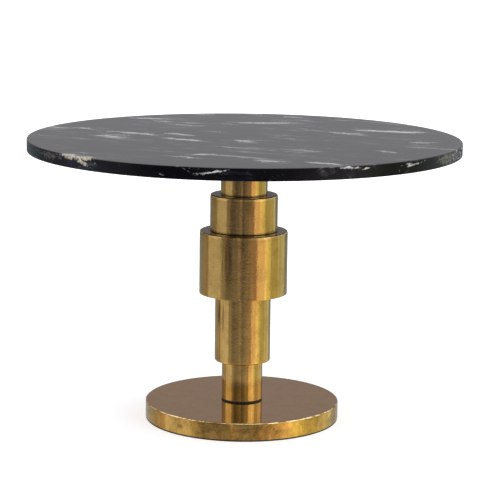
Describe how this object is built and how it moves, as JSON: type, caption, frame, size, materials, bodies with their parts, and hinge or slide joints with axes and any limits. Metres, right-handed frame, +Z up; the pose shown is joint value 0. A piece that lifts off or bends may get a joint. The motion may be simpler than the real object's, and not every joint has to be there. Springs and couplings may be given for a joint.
{
  "type": "round pedestal table",
  "caption": "Round dining table: a black veined marble disc on a pedestal of stacked plain brass cylinders, with a round weighted brass base and levelling feet.",
  "frame": {"origin": "on the floor, under the middle of the base", "axes": "+Z up along the pedestal's axis; +X and +Y are level, 45 degrees away from the levelling feet"},
  "size_m": [1.15, 1.15, 0.76],
  "materials": {
    "black_marble": "black marble with white veins, polished",
    "aged_brass": "brass-plated steel sheet, brushed, lacquered and slightly aged",
    "black_painted_steel": "black powder coat, fine texture",
    "zinc_plated_steel": "bright zinc plate",
    "mill_steel": "oiled mill steel",
    "cast_iron": "as-cast iron, painted grey-black",
    "black_rubber": "moulded black rubber, matte",
    "black_nylon": "moulded black nylon",
    "beech_plywood": "bare beech plywood"
  },
  "bodies": {
    "table": {"marble_top": "black_marble", "top_pad": "black_rubber", "rim_strip": "black_rubber", "top_plate": "black_painted_steel", "underside_cover": "black_painted_steel", "centre_post": "mill_steel", "upper_neck": "aged_brass", "upper_drum": "aged_brass", "main_drum": "aged_brass", "main_drum_floor": "aged_brass", "lower_drum": "aged_brass", "lower_neck": "aged_brass", "base_cover": "aged_brass", "upper_centring_ring": "beech_plywood", "lower_centring_ring": "beech_plywood", "post_spacer": "black_nylon", "base_weight": "cast_iron", "threaded_insert_1": "zinc_plated_steel", "threaded_insert_2": "zinc_plated_steel", "threaded_insert_3": "zinc_plated_steel", "threaded_insert_4": "zinc_plated_steel", "threaded_insert_5": "zinc_plated_steel", "threaded_insert_6": "zinc_plated_steel", "top_bolt_1": "zinc_plated_steel", "top_bolt_2": "zinc_plated_steel", "top_bolt_3": "zinc_plated_steel", "top_bolt_4": "zinc_plated_steel", "top_bolt_5": "zinc_plated_steel", "top_bolt_6": "zinc_plated_steel", "head_screw_1": "zinc_plated_steel", "head_screw_2": "zinc_plated_steel", "head_screw_3": "zinc_plated_steel", "head_screw_4": "zinc_plated_steel", "base_bolt_1": "zinc_plated_steel", "base_bolt_2": "zinc_plated_steel", "base_bolt_3": "zinc_plated_steel", "base_bolt_4": "zinc_plated_steel", "underside_screw_1": "zinc_plated_steel", "underside_screw_2": "zinc_plated_steel", "underside_screw_3": "zinc_plated_steel", "underside_screw_4": "zinc_plated_steel"},
    "foot_pad_1": {"foot_pad_1": "black_nylon"},
    "foot_stem_1": {"foot_stem_1": "zinc_plated_steel"},
    "foot_pad_2": {"foot_pad_2": "black_nylon"},
    "foot_stem_2": {"foot_stem_2": "zinc_plated_steel"},
    "foot_pad_3": {"foot_pad_3": "black_nylon"},
    "foot_stem_3": {"foot_stem_3": "zinc_plated_steel"},
    "foot_pad_4": {"foot_pad_4": "black_nylon"},
    "foot_stem_4": {"foot_stem_4": "zinc_plated_steel"}
  },
  "joints": [
    {"name": "foot_drop_1", "type": "slide", "parent": "table", "child": "foot_pad_1", "axis": [0, 0, -1], "range_m": [0, 0.008]},
    {"name": "foot_turn_1", "type": "hinge", "parent": "foot_pad_1", "child": "foot_stem_1", "pos_m": [0.14496, 0.14496, 0], "axis": [0, 0, 1], "range_deg": [0, 1920]},
    {"name": "foot_drop_2", "type": "slide", "parent": "table", "child": "foot_pad_2", "axis": [0, 0, -1], "range_m": [0, 0.008]},
    {"name": "foot_turn_2", "type": "hinge", "parent": "foot_pad_2", "child": "foot_stem_2", "pos_m": [-0.14496, 0.14496, 0], "axis": [0, 0, 1], "range_deg": [0, 1920]},
    {"name": "foot_drop_3", "type": "slide", "parent": "table", "child": "foot_pad_3", "axis": [0, 0, -1], "range_m": [0, 0.008]},
    {"name": "foot_turn_3", "type": "hinge", "parent": "foot_pad_3", "child": "foot_stem_3", "pos_m": [-0.14496, -0.14496, 0], "axis": [0, 0, 1], "range_deg": [0, 1920]},
    {"name": "foot_drop_4", "type": "slide", "parent": "table", "child": "foot_pad_4", "axis": [0, 0, -1], "range_m": [0, 0.008]},
    {"name": "foot_turn_4", "type": "hinge", "parent": "foot_pad_4", "child": "foot_stem_4", "pos_m": [0.14496, -0.14496, 0], "axis": [0, 0, 1], "range_deg": [0, 1920]}
  ],
  "couplings": [
    {"joint": "foot_turn_1", "follows": "foot_drop_1", "rad_per_m": 4188.8},
    {"joint": "foot_turn_2", "follows": "foot_drop_2", "rad_per_m": 4188.8},
    {"joint": "foot_turn_3", "follows": "foot_drop_3", "rad_per_m": 4188.8},
    {"joint": "foot_turn_4", "follows": "foot_drop_4", "rad_per_m": 4188.8}
  ]
}
